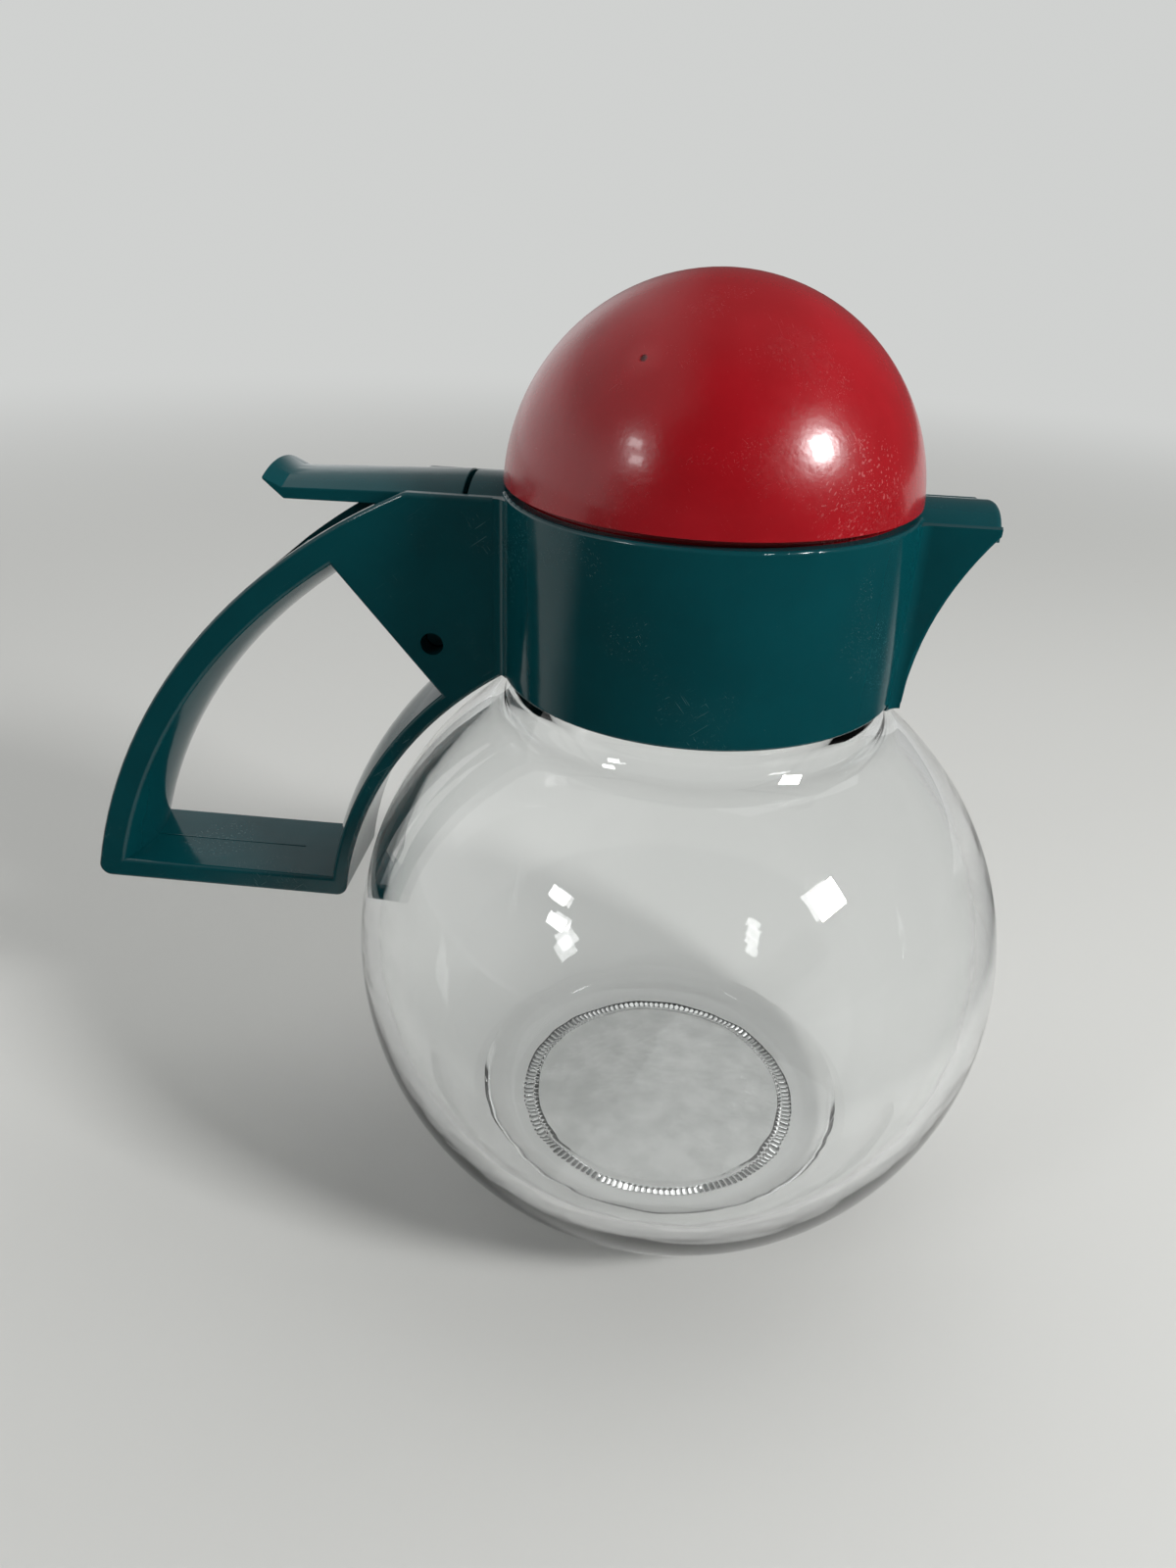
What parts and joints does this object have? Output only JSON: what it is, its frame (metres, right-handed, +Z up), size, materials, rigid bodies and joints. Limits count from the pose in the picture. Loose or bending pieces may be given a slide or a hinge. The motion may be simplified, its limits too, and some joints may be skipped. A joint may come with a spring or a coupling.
{
  "type": "condiment dispenser",
  "caption": "Round glass condiment dispenser with a looped handle, a thumb lever that draws back a gate over the pouring spout, and a domed cap.",
  "frame": {"origin": "on the table under the middle of the whole dispenser's bounding box", "axes": "+X from the handle towards the spout, +Y to the left of that way, +Z up; the XZ plane is the plane of symmetry"},
  "size_m": [0.1421, 0.1, 0.1382],
  "materials": {
    "clear_glass": "clear, smooth, moulded",
    "teal_plastic": "glossy, moulded, lightly scratched",
    "red_plastic": "glossy, moulded, lightly scuffed"
  },
  "bodies": {
    "dispenser": {"jar": "clear_glass", "collar_handle": "teal_plastic", "dome_cap": "red_plastic"},
    "lever": {"thumb_lever": "teal_plastic"},
    "gate": {"spout_gate": "teal_plastic"}
  },
  "joints": [
    {"name": "lever_tilt", "type": "hinge", "parent": "dispenser", "child": "lever", "pos_m": [-0.01514, 0, 0.09], "axis": [0, -1, 0], "range_deg": [0, 12], "stiffness_Nm_per_rad": 0.15, "springref_deg": -5.73},
    {"name": "gate_slide", "type": "slide", "parent": "dispenser", "child": "gate", "axis": [-1, 0, 0], "range_m": [0, 0.004]}
  ],
  "couplings": [
    {"joint": "gate_slide", "follows": "lever_tilt", "m_per_rad": 0.019}
  ]
}
